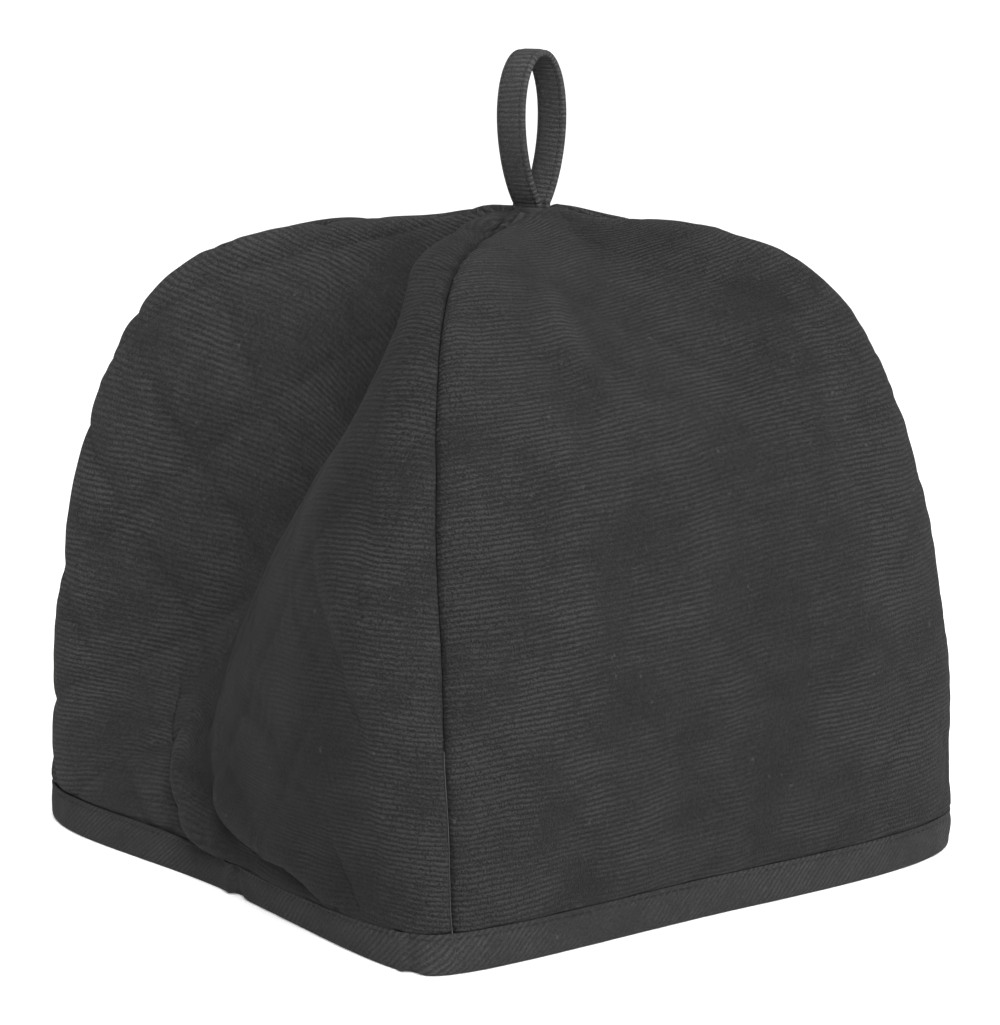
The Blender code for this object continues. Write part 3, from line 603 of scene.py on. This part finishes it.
def ribbed_cotton(name, light, dark, rib, turn=0.0, rib_high=0.00030, lint=1.0):
    """Weft-ribbed (repp) cotton, dyed charcoal: round crosswise ribs with fine warp threads over them, dull
    and a little fuzzy, so light catches the ribs' tops and stray lint. The ribs' tops are painted lighter
    and their gaps darker, a painted highlight and painted shade over their bump. It all follows the cloth's
    UV map.

    light and dark are the colours of the ribs' tops and of the gaps between them, and turn is how the cloth
    was cut, in degrees off its grain. The points' values say how taut and how proud it is, and how much
    painted light and shade its colour carries.
    """
    material, tree, shader = surface(name, COTTON)
    shader.inputs["Sheen Tint"].default_value = linear("BABABA")

    def noise(size, stretch=(1, 1), detail=2, rough=0.5):
        placed = add(tree, "ShaderNodeMapping", {"Vector": laid, "Scale": (*stretch, 1)})[0]
        values = {"Vector": placed, "Scale": 1 / size, "Detail": detail, "Roughness": rough}
        return add(tree, "ShaderNodeTexNoise", values, noise_dimensions="2D")[0]

    def sums(operation, first, second=0.0):
        return add(tree, "ShaderNodeMath", {0: first, 1: second}, operation=operation)[0]

    def scaled(value, share, plus=0.0):
        return sums("ADD", sums("MULTIPLY", value, share), plus)

    def about_nought(value, height):
        return sums("MULTIPLY", sums("SUBTRACT", value, 0.5), height)

    def own(value):
        return add(tree, "ShaderNodeAttribute", {}, attribute_name=value)["Fac"]

    def mix(share, first, second, blend="MIX"):
        values = {0: share, 6: first, 7: second}
        return add(tree, "ShaderNodeMix", values, data_type="RGBA", blend_type=blend)[2]

    cloth = add(tree, "ShaderNodeUVMap", {}, uv_map="cloth")[0]
    laid = add(tree, "ShaderNodeMapping", {"Vector": cloth, "Rotation": (0, 0, math.radians(turn))})[0]
    up = add(tree, "ShaderNodeSeparateXYZ", {"Vector": laid})[1]
    taut = own("taut")

    # The ribs' rows sway and waver by a millimetre or two: 0 in the gaps and 1 on the tops
    sway = about_nought(noise(0.030), 0.0022)
    waver = about_nought(noise(0.0045, (0.5, 1)), 0.0007)
    place = sums("ADD", up, sums("ADD", sway, waver))
    ribs = sums("COSINE", sums("MULTIPLY", place, 2 * math.pi / rib))
    ribs = sums("MULTIPLY", sums("ADD", ribs, 1.0), 0.5)
    # Warp threads break the tops into dashes, and into dots where it is taut. Wear has rubbed some off.
    dashes = sums("MULTIPLY", noise(0.0011, (0.45, 1.6), 2, 0.6), 1.5)
    dots = sums("MULTIPLY", about_nought(noise(0.0005, (1, 0.6), 1), taut), 2.6)
    crisp = sums("ADD", sums("ADD", dashes, dots), -0.10)
    worn = scaled(noise(0.026, (1, 1), 4, 0.65), 3.0, -0.85)
    worn = sums("MULTIPLY", sums("MAXIMUM", worn, 0.12), scaled(taut, 1.1, 0.62))
    yarn = sums("MULTIPLY", sums("MULTIPLY", ribs, crisp), worn)
    # Slubs in the weft, small pills and the fuzz of the fibres' ends
    yarn = sums("ADD", yarn, about_nought(noise(0.0060, (0.15, 1.3), 3, 0.6), 0.30))
    yarn = sums("ADD", yarn, about_nought(noise(0.0012, (1, 1), 3, 0.75), 1.0))
    yarn = sums("ADD", yarn, about_nought(noise(0.0005, (1, 1), 2, 0.7), scaled(taut, 1.2, 0.8)))
    # The tone runs from the gaps to the tops of the ribs: painted shade in the gaps and a painted highlight
    # on the tops, dotted where it is taut, besides the bump
    tone = add(tree, "ShaderNodeMapRange", {"Value": yarn, "From Min": -0.15, "From Max": 1.10})[0]

    # The dye is cloudy and paler where a quilt stands proud, and painted light and shade make it paler
    # where the cloth stands open to the light and darker in the deep fold
    level = scaled(noise(0.045, (1, 1), 3, 0.55), 0.04, 0.90)
    level = sums("ADD", level, sums("MULTIPLY", noise(0.007), 0.06))
    level = sums("ADD", level, sums("MULTIPLY", own("proud"), 0.07))
    # painted light and shade: the colour times each point's painted light and shade value
    level = sums("MULTIPLY", level, own("faded"))
    level = add(tree, "ShaderNodeCombineColor", {0: level, 1: level, 2: level})[0]
    dyed = mix(1.0, mix(tone, linear(dark), linear(light)), level, "MULTIPLY")

    # Lint: thin stray fibres where two noises meet, and flecks in a few of many small cells
    fibre = sums("LESS_THAN", sums("ABSOLUTE", sums("SUBTRACT", noise(0.0042, (1, 1), 1), 0.5)), 0.006)
    fibre = sums("MULTIPLY", fibre, sums("GREATER_THAN", noise(0.0030, (1, 1), 0), 0.76))
    cells = {"Vector": cloth, "Scale": 1 / 0.0052}
    specks = add(tree, "ShaderNodeTexVoronoi", cells, voronoi_dimensions="2D")
    chosen = add(tree, "ShaderNodeSeparateColor", {"Color": specks["Color"]})[0]
    chosen = sums("GREATER_THAN", chosen, 1 - 0.04 * lint)
    flecks = sums("MULTIPLY", chosen, sums("LESS_THAN", specks["Distance"], 0.030))
    dyed = mix(sums("MULTIPLY", sums("MAXIMUM", flecks, fibre), 0.17), dyed, linear(LINT))

    bump = add(tree, "ShaderNodeBump", {"Height": yarn, "Strength": 1.0, "Distance": rib_high})[0]
    tree.links.new(dyed, shader.inputs["Base Color"])
    tree.links.new(bump, shader.inputs["Normal"])
    return material


def both_faces(grid):
    """A panel's grid of values for its outer face's points and then for the coarser inner face's."""
    inner = grid[::INSIDE_STEP, ::INSIDE_STEP]
    return np.concatenate([grid.reshape(-1, *grid.shape[2:]), inner.reshape(-1, *grid.shape[2:])])


RIB_PITCH = 0.00147  # from one rib to the next
quilted_cotton = ribbed_cotton("charcoal ribbed cotton", light="323232", dark="181818", rib=RIB_PITCH)
PANELS = ("panel_front", "panel_right", "panel_back", "panel_left")
TAUT_REACH = (0.055, 0.045, 0.045, 0.030)  # how far from its seams each panel is drawn tight over the ridge
# Painted light and shade on each panel, as a factor on its colour at places across it in millimetres: paler
# where it stands open to the light, darker inside the deep fold where shade falls
EVEN = ((-120, 0, 120), (1.0, 1.0, 1.0))
FOLD_PAINTED_LIGHT_SHADE = (
    (-125, -60, -30, -12, 10, 32, 60, 74, 88, 104, 125),
    (1.28, 1.28, 1.24, 1.00, 0.80, 0.76, 0.74, 0.72, 0.82, 0.96, 1.04),
)
PAINTED_LIGHT_SHADES = (EVEN, EVEN, EVEN, FOLD_PAINTED_LIGHT_SHADE)
panel_faces = []
for number, node in enumerate(PANELS):
    sheet, across = panel_middle(number)
    up = np.broadcast_to(levels[:, None], across.shape)
    seam = across.max(axis=1, keepdims=True) - np.abs(across)
    sheet = sheet - soft_shape(number, across, up, seam)[..., None] * facing_of(sheet)
    half, pucker, puff = quilt_faces(number, across, up, seam)
    facing = facing_of(sheet)
    outer = sheet + (half + pucker)[..., None] * facing
    inner = (sheet - half[..., None] * facing)[::INSIDE_STEP, ::INSIDE_STEP]
    panel_faces.append((outer, facing, across))

    outer_index, inner_index = numbered(outer), numbered(inner, first=across.size)
    faces = grid_faces(outer_index) + grid_faces(inner_index, turned=True)
    for rim, turned in ((0, True), (-1, False)):
        faces += rim_faces(outer_index[rim], inner_index[rim], turned)
        faces += rim_faces(outer_index[:, -1 - rim], inner_index[:, -1 - rim], turned)
    points = np.vstack([outer.reshape(-1, 3), inner.reshape(-1, 3)])
    fields = {
        "proud": both_faces(puff),
        "taut": both_faces(np.exp(-((seam / TAUT_REACH[number]) ** 2))),
        "faded": both_faces(smooth(across * 1000, *PAINTED_LIGHT_SHADES[number])),
    }
    uv = both_faces(cloth_place(number, across, up))
    panel = lay_mesh("quilted_" + node, points, faces, uv, **fields)
    panel.data.materials.append(quilted_cotton)
    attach(panel, "root")
    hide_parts(node)

# ----------------------------------------------------------------------
# The hem binding
# A strip of the same ribbed cotton cut on the bias, folded over the panels' lower edges and topstitched
# through near its upper edge. It stands on the table and waves a little where the stitches draw it in.

INNER_HEIGHT = 0.0104  # of the binding's fold inside the cosy
BINDING_STEPS = 280  # along each panel
STITCH_DROP = 0.0014  # of the topstitching below the binding's upper edge
HEM_SWELL = 0.00022  # how far it waves
# Where the hem is pinched: back along it from the near corner's seam, how far it spreads, how far it lifts
# off the table, and how far the cloth before it stands out and behind it sinks
PINCHES = (
    dict(place=0.103, half=0.0032, lift=0.0013, fold=0.0011),
    dict(place=0.0125, half=0.0022, lift=0.0008, fold=0.0010),
)
PINCH_AHEAD = 0.6  # share of its spread by which the lift is ahead of the pinch
# The binding's section in millimetres, outward from the cloth's middle and up: inside the fold, over its
# upper edge, down the outer face with its line of stitching, under the hem and up the inner face
FOLD_HALF = 1.65  # half the width inside the fold
BINDING_SECTION = (
    (-FOLD_HALF, 10.1), (-FOLD_HALF, 6.0), (-FOLD_HALF, 1.5), (-1.15, 1.2), (1.15, 1.2), (FOLD_HALF, 1.5),
    (FOLD_HALF, 6.0), (FOLD_HALF, 11.5), (1.95, 11.9), (2.3, 11.9), (2.6, 11.5), (2.5, 11.0), (2.3, 10.4),
    (2.5, 9.7), (2.6, 8.8), (2.6, 7.5), (2.6, 6.0), (2.6, 4.6), (2.6, 3.4), (2.6, 2.4), (2.5, 1.6),
    (2.2, 0.8), (1.7, 0.2), (1.1, 0.0), (0.0, 0.0), (-1.1, 0.0), (-1.7, 0.2), (-2.2, 0.8), (-2.5, 1.6),
    (-2.6, 2.4), (-2.6, 6.0), (-2.6, 9.4), (-2.3, 10.4), (-1.95, 10.4),
)


def round_hem(up, where, nearby=0.001):
    """Places round the cosy at one height, with the level directions ahead and outward there."""
    closed, run, _ = cosy_section(up)
    ahead = unit(take(closed, run, where + nearby) - take(closed, run, where - nearby))
    outward = np.column_stack([ahead[:, 1], -ahead[:, 0], 0 * where])
    return take(closed, run, where) + shift, ahead, outward


panel_steps = np.linspace(0, 1, BINDING_STEPS, endpoint=False)
rings = []
for side, up in BINDING_SECTION:
    outer_face = side > FOLD_HALF
    side, up = side / 1000, up / 1000
    _, hem_run, seams = cosy_section(up)
    hem_place = [start + panel_steps * (end - start) for start, end in zip(seams, seams[1:])]
    hem_place = np.concatenate(hem_place)
    ring, _, outward = round_hem(up, hem_place)
    hem_place -= seams[0]
    swell = unevenness(hem_place, np.full_like(hem_place, up), seed=51, longest=0.035, shortest=0.009)
    swell *= HEM_SWELL * math.sin(math.pi * min(up / BINDING_HEIGHT, 1)) * outer_face
    lift = np.zeros_like(hem_place)
    for pinch in PINCHES:
        away = (hem_place - hem_run[-1] + pinch["place"]) / pinch["half"]
        swell -= pinch["fold"] * away * np.exp(0.5 - away**2) * outer_face
        raised = pinch["lift"] * (1 - ease(up / BINDING_HEIGHT)) * (side > 0)
        lift += raised * np.exp(-((away - PINCH_AHEAD) ** 2))
    ring += (side + swell)[:, None] * outward
    ring[:, 2] += lift
    rings.append(ring)
rings = np.array(rings)
faces = grid_faces(np.pad(numbered(rings), ((0, 1), (0, 1)), "wrap"))
developed = lengths(np.array(BINDING_SECTION) / 1000)
uv = np.stack(np.meshgrid(hem_place, developed), axis=-1).reshape(-1, 2)
binding = lay_mesh("bias_binding", rings.reshape(-1, 3), faces, uv, proud=0.9, taut=0.3, faded=1.0)
# The faces that close the ring take their far corners' place on the strip from its end
corner_uv = np.empty((len(faces), 4, 2), np.float32)
binding.data.uv_layers["cloth"].data.foreach_get("uv", corner_uv.reshape(-1))
closing = np.ptp(corner_uv[..., 0], axis=1, keepdims=True) > hem_run[-1] / 2
corner_uv[..., 0] += hem_run[-1] * (closing & (corner_uv[..., 0] < hem_run[-1] / 2))
binding.data.uv_layers["cloth"].data.foreach_set("uv", corner_uv.reshape(-1))
# Cut on the bias, so its ribs slant at 45 degrees, and a little paler than the panels all over
bias_name = "charcoal ribbed cotton on the bias"
bias_cotton = ribbed_cotton(bias_name, light="393939", dark="212121", rib=RIB_PITCH, turn=45.0)
binding.data.materials.append(bias_cotton)
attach(binding, "root")
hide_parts("hem_binding")

# ----------------------------------------------------------------------
# The hanging loop
# A narrow strip of the ribbed cotton folded into a tape and stitched down both edges, bent double and
# caught between the panels at the point.

LOOP_WIDTH = 0.0212  # over its outer faces
LOOP_HEIGHT = 0.0486
LOOP_START = 24.0  # the turn at which the teardrop's ends begin, in degrees
LOOP_STEPS = 600
ROOT_DEPTH = 0.007  # how far the ends go in at the point
ROOT_STEPS = 12
TAPE_STEPS = 200  # along the tape
TAPE_ROUND = 48  # and round its section
BROAD_SQUARE = 0.35  # exponents that square off the section's long faces
THICK_SQUARE = 0.55  # and its short ones
TAPE_SEW = 0.0014  # from the tape's edge to its stitching
SEWN_IN = 0.24  # how much of the thickness the stitching draws in
SEWN_HALF = 0.0006  # and how far to either side


def loop_line():
    """The tape's middle line, sideways and up: a teardrop, the turn's sine by the root of half's sine."""
    begin = math.radians(LOOP_START)
    turn = np.linspace(begin, 2 * math.pi - begin, LOOP_STEPS)
    side = np.sin(turn) * np.sqrt(np.sin(turn / 2))
    side *= (LOOP_WIDTH - TAPE_THICK) / 2 / side.max()
    rise = (LOOP_HEIGHT - TAPE_THICK / 2) * (1 - np.cos(turn)) / 2
    root = TAPE_THICK / 2 + ROOT_HALF_GAP
    ends = np.linspace(-ROOT_DEPTH, rise[0], ROOT_STEPS, endpoint=False)
    settle = root + (side[0] - root) * ease((ends + ROOT_DEPTH) / (rise[0] + ROOT_DEPTH))
    down = np.column_stack([settle, ends])
    return np.vstack([down, np.column_stack([side, rise]), down[::-1] * (-1, 1)])


line = loop_line()
loop_run = lengths(line)
tape_along = np.linspace(0, loop_run[-1], TAPE_STEPS + 1)
tape_middle = rows_at(tape_along, loop_run, line)
tape_way = unit(np.gradient(tape_middle, axis=0))
tape_normal = np.column_stack([tape_way[:, 1], -tape_way[:, 0]])
turns = np.linspace(0, 2 * math.pi, TAPE_ROUND, endpoint=False)
broad = np.sign(np.cos(turns)) * np.abs(np.cos(turns)) ** BROAD_SQUARE * TAPE_WIDTH / 2
thick = np.sign(np.sin(turns)) * np.abs(np.sin(turns)) ** THICK_SQUARE * TAPE_THICK / 2
from_edge = TAPE_WIDTH / 2 - np.abs(broad)
thick *= 1 - SEWN_IN * np.exp(-(((from_edge - TAPE_SEW) / SEWN_HALF) ** 2))
side_way = np.append(heading(LOOP_TURN), 0.0)
broad_way = np.append(heading(LOOP_TURN + 90), 0.0)
base = np.append(centre_at(CROWN_HEIGHT), CROWN_HEIGHT + APEX_RISE) + LOOP_OFF * side_way + shift


def hang(flat, broad):
    """Stands points of the loop's own plane, sideways and up, in place at distances across the tape."""
    return base + flat[..., :1] * side_way + flat[..., 1:] * (0, 0, 1) + broad[..., None] * broad_way


tape = hang(tape_middle[:, None, :] + thick[None, :, None] * tape_normal[:, None, :], broad[None, :])
index = numbered(tape)
faces = grid_faces(np.pad(index, ((0, 0), (0, 1)), "wrap")) + [index[0][::-1].tolist(), index[-1].tolist()]
uv = np.stack(np.meshgrid(broad, tape_along), axis=-1).reshape(-1, 2)
loop = lay_mesh("loop_tape", tape.reshape(-1, 3), faces, uv, proud=0.8, taut=0.6, faded=1.0)
# The palest of the three: partly painted light, as it stands up in the light, and partly real wear from
# handling, with less lint on it
tape_name = "charcoal ribbed cotton tape"
tape_cotton = ribbed_cotton(tape_name, light="444444", dark="292929", rib=RIB_PITCH, lint=0.6)
loop.data.materials.append(tape_cotton)
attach(loop, "root")
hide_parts("hanging_loop")

# ----------------------------------------------------------------------
# The sewing
# Lockstitch in matching spun polyester thread: each stitch is a short strand that dips into the cloth at
# both ends. It runs in the quilting's grooves, round the binding and down both edges of the loop.

THREAD_ROUND = 6  # points round a strand
THREAD_RINGS = ((0.10, 0.55), (0.5, 1.0), (0.90, 0.55))  # places along it, and shares of its radius there
MIDDLE_SINK = 0.1  # share of its radius by which a strand is sunk at its middle
TIP_SINK = 0.9  # and how much more at its ends

# Nearly black, dull and twisted of two tones of fibre
thread, thread_tree, thread_shader = surface("spun thread", {"Roughness": 0.8, "Specular IOR Level": 0.2})
strand = add(thread_tree, "ShaderNodeTexCoord", {})["Object"]
ply = add(thread_tree, "ShaderNodeTexNoise", {"Vector": strand, "Scale": 1 / 0.0006, "Detail": 2.0})[0]
tones = {0: ply, 6: linear("0F0F0F"), 7: linear("202020")}
ply = add(thread_tree, "ShaderNodeMix", tones, data_type="RGBA")[2]
thread_tree.links.new(ply, thread_shader.inputs["Base Color"])


def stitches(name, middle, ahead, outward, long, radius):
    """Short strands, one for each row of middle: rings round a line that sinks at both ends."""
    side = np.cross(ahead, outward)
    rounds = np.linspace(0, 2 * math.pi, THREAD_ROUND, endpoint=False)
    points = [middle - 0.5 * long * ahead - TIP_SINK * radius * outward]
    for place, share in THREAD_RINGS:
        sink = radius * (MIDDLE_SINK + TIP_SINK * (2 * place - 1) ** 2)
        centre = middle + (place - 0.5) * long * ahead - sink * outward
        ring = np.cos(rounds)[:, None, None] * side + np.sin(rounds)[:, None, None] * outward
        points += list(centre + share * radius * ring)
    points.append(middle + 0.5 * long * ahead - TIP_SINK * radius * outward)
    points = np.stack(points, axis=1)
    last = points.shape[1] - 1
    rings = np.arange(1, last).reshape(-1, THREAD_ROUND)
    first_ring, last_ring = rings[0], rings[-1]
    start_tip = np.stack([np.zeros_like(first_ring), np.roll(first_ring, -1), first_ring], axis=-1)
    end_tip = np.stack([last_ring, np.roll(last_ring, -1), np.full_like(last_ring, last)], axis=-1)
    sides = np.array(grid_faces(np.pad(rings, ((0, 0), (0, 1)), "wrap")))
    offsets = np.arange(len(points))[:, None, None] * points.shape[1]
    faces = []
    for one in (np.concatenate([start_tip, end_tip]), sides):
        faces += (offsets + one).reshape(-1, one.shape[1]).tolist()
    uv = np.tile(np.linspace(0, long, points.shape[1])[:, None] * (1, 0), (len(points), 1))
    piece = lay_mesh(name, points.reshape(-1, 3), faces, uv)
    piece.data.materials.append(thread)
    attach(piece, "root")
    return piece


QUILT_STITCH = 0.0030  # from one stitch to the next
QUILT_SHOWN = 0.82  # share of it that shows
QUILT_THREAD = 0.00014  # half the thread's thickness
QUILT_ROWS = range(-8, 9)  # more than enough to cross a panel
QUILT_RUN = (-0.24, 0.30)  # and to run over it
HEM_CLEAR = 0.003  # how far above the binding the quilting shows
POINT_CLEAR = 0.012  # below the point
SEAM_CLEAR = 0.004  # and from the seams
NEARBY = 0.0008  # how far before and after a stitch its way is taken


def grid_place(points, across):
    """Where places on a flat panel lie in its grid: columns and rows, with parts of one."""
    width = 2 * np.interp(points[:, 1], levels, across.max(axis=1))
    column = np.interp(points[:, 0] / width + 0.5, shares, np.arange(len(shares)))
    return column, np.interp(points[:, 1], levels, np.arange(len(levels)))


def on_panel(grid, column, row):
    """A grid's value between its points: the mean of the four nearest, weighed by how near they are."""
    left, low = np.floor(column).astype(int), np.floor(row).astype(int)
    left, low = np.clip(left, 0, grid.shape[1] - 2), np.clip(low, 0, grid.shape[0] - 2)
    x, y = (column - left)[:, None], (row - low)[:, None]
    lower = grid[low, left] * (1 - x) + grid[low, left + 1] * x
    upper = grid[low + 1, left] * (1 - x) + grid[low + 1, left + 1] * x
    return lower * (1 - y) + upper * y


for number, (outer, facing, across) in enumerate(panel_faces):
    middles, aheads = [], []
    for way, shifted in zip((1, -1), QUILT_SHIFTS[number]):
        for row in QUILT_ROWS:
            through = (row + shifted) * QUILT_PITCH
            run = np.arange(*QUILT_RUN, QUILT_STITCH)
            up = (way * through + run) / math.sqrt(2)
            sideways = (through - way * run) / math.sqrt(2)
            middles.append(np.column_stack([sideways, up]))
            aheads.append(np.tile((-way / math.sqrt(2), 1 / math.sqrt(2)), (len(run), 1)))
    middles, aheads = np.vstack(middles), np.vstack(aheads)
    widest = np.interp(middles[:, 1], levels, across.max(axis=1))
    keep = (middles[:, 1] > BINDING_HEIGHT + HEM_CLEAR) & (middles[:, 1] < PANEL_HEIGHT - POINT_CLEAR)
    keep &= np.abs(middles[:, 0]) < widest - SEAM_CLEAR
    middles, aheads = middles[keep], aheads[keep]

    here = on_panel(outer, *grid_place(middles, across))
    before, after = (
        on_panel(outer, *grid_place(middles + step * aheads, across)) for step in (-NEARBY, NEARBY)
    )
    ahead = unit(after - before)
    outward = on_panel(facing, *grid_place(middles, across))
    outward = unit(outward - (outward * ahead).sum(axis=1, keepdims=True) * ahead)
    name = "quilting_" + PANELS[number].removeprefix("panel_")
    stitches(name, here, ahead, outward, QUILT_SHOWN * QUILT_STITCH, QUILT_THREAD)

HEM_STITCH = 0.0027  # the binding's stitches are shorter and of thicker thread
HEM_SHOWN = 0.8
HEM_THREAD = 0.00019
hem_places = np.arange(0, hem_run[-1] - HEM_STITCH, HEM_STITCH)
for name, off, up in (
    ("outside", BINDING_OUT - 0.0002, BINDING_HEIGHT - STITCH_DROP),
    ("inside", -BINDING_OUT + 0.0001, INNER_HEIGHT - STITCH_DROP),
):
    here, ahead, outward = round_hem(up, hem_places)
    outward = outward * math.copysign(1, off)
    here = here + abs(off) * outward
    stitches("hem_stitching_" + name, here, ahead, outward, HEM_SHOWN * HEM_STITCH, HEM_THREAD)

LOOP_STITCH = 0.0022
sewn = np.arange(ROOT_DEPTH, loop_run[-1] - ROOT_DEPTH, LOOP_STITCH)
flat, way, normal = (rows_at(sewn, tape_along, rows) for rows in (tape_middle, tape_way, tape_normal))
here, ahead, outward = [], [], []
for face in (1, -1):
    for edge in (1, -1):
        across = np.full(len(sewn), edge * (TAPE_WIDTH / 2 - TAPE_SEW))
        here.append(hang(flat + face * (1 - SEWN_IN) * TAPE_THICK / 2 * normal, across))
        ahead.append(hang(way, 0 * across) - base)
        outward.append(face * (hang(normal, 0 * across) - base))
here, ahead, outward = np.vstack(here), np.vstack(ahead), np.vstack(outward)
stitches("loop_stitching", here, ahead, outward, HEM_SHOWN * LOOP_STITCH, HEM_THREAD)

# ----------------------------------------------------------------------
# The table, the light and the camera
# A flat white paper floor in a white room, two large soft lamps before the cosy and black flags to its
# sides.

FLOOR_HALF = 6.0  # far enough to fill the view
# Matt white paper that glows a little though it is no lamp: painted light that lifts it where the flags
# would leave it grey
paper, _, _ = surface("white paper", {
    "Base Color": linear("FBFBFB"),
    "Roughness": 0.9,
    "Emission Color": linear("FFFFFF"),
    "Emission Strength": 0.20,
})
floor_mesh = bpy.data.meshes.new("floor")
floor_corners = [(FLOOR_HALF * x, FLOOR_HALF * y, 0) for x, y in ((-1, -1), (1, -1), (1, 1), (-1, 1))]
floor_mesh.from_pydata(floor_corners, [], [(0, 1, 2, 3)])
floor_mesh.materials.append(paper)
floor = show("floor", floor_mesh)

# The wide flag to the left leaves the near fold's flank in soft shade, and a narrow one stands to the
# right. Each row is which way a flag stands, how near to that way it begins and is full, as cosines, and
# how much light is left there.
FLAGS = (
    ((-0.90, 0.43, 0.0), 0.18, 0.70, 0.04),
    ((1.00, 0.00, 0.0), 0.66, 0.94, 0.25),
)
ROOM_LIGHT = 1.25  # of the room's white walls
world = bpy.data.worlds.new("studio")
bpy.context.scene.world = world
world.use_nodes = True
room = world.node_tree
way = add(room, "ShaderNodeTexCoord", {})["Generated"]
shades = []
for toward, begins, full, left in FLAGS:
    near = add(room, "ShaderNodeVectorMath", {0: way, 1: toward}, operation="DOT_PRODUCT")["Value"]
    reach = {"Value": near, "From Min": begins, "From Max": full, "To Min": 1.0, "To Max": left}
    shades.append(add(room, "ShaderNodeMapRange", reach, interpolation_type="SMOOTHSTEP")[0])
shade = add(room, "ShaderNodeMath", {0: shades[0], 1: shades[1]}, operation="MULTIPLY")[0]
white = add(room, "ShaderNodeCombineColor", {0: shade, 1: shade, 2: shade})[0]
room.links.new(white, room.nodes["Background"].inputs["Color"])
room.nodes["Background"].inputs["Strength"].default_value = ROOM_LIGHT
bpy.context.scene.view_settings.view_transform = "Standard"


def view_way(azimuth, rise):
    """From the cosy towards a camera or lamp, by its degrees round from the front and up from level."""
    around, above = math.radians(azimuth), math.radians(rise)
    level = math.cos(above)
    return np.array([math.sin(around) * level, -math.cos(around) * level, math.sin(above)])


def aim(thing, place, target):
    """Stands a lamp or camera at a place, turned to look at the target with its top upwards."""
    back = unit(np.array(place) - np.array(target))
    right = unit(np.cross((0, 0, 1), back))
    matrix = np.eye(4)
    matrix[:3] = np.column_stack([right, np.cross(back, right), back, place])
    thing.matrix_world = matrix.T


LAMP_AIM = (0.0, 0.0, 0.1)
LAMPS = (
    dict(name="key", azimuth=0.0, rise=62.0, away=1.8, size=1.3, power=13.0),
    dict(name="front", azimuth=-33.0, rise=38.0, away=1.9, size=1.0, power=39.0),
)
for row in LAMPS:
    lamp = bpy.data.lights.new(row["name"], "AREA")
    lamp.energy = row["power"]
    lamp.size = row["size"]
    aim(show(row["name"], lamp), row["away"] * view_way(row["azimuth"], row["rise"]), LAMP_AIM)

VIEW_AZIMUTH = -36.0
VIEW_RISE = 9.94
VIEW_AWAY = 1.000
VIEW_AIM = (-0.0009, 0.0006, 0.099)
lens = bpy.data.cameras.new("camera")
lens.sensor_fit = "VERTICAL"
lens.sensor_height = 36.0
lens.lens = 112.4
lens.shift_y = 0.01122
camera = show("camera", lens)
aim(camera, np.array(VIEW_AIM) + VIEW_AWAY * view_way(VIEW_AZIMUTH, VIEW_RISE), VIEW_AIM)
bpy.context.scene.camera = camera
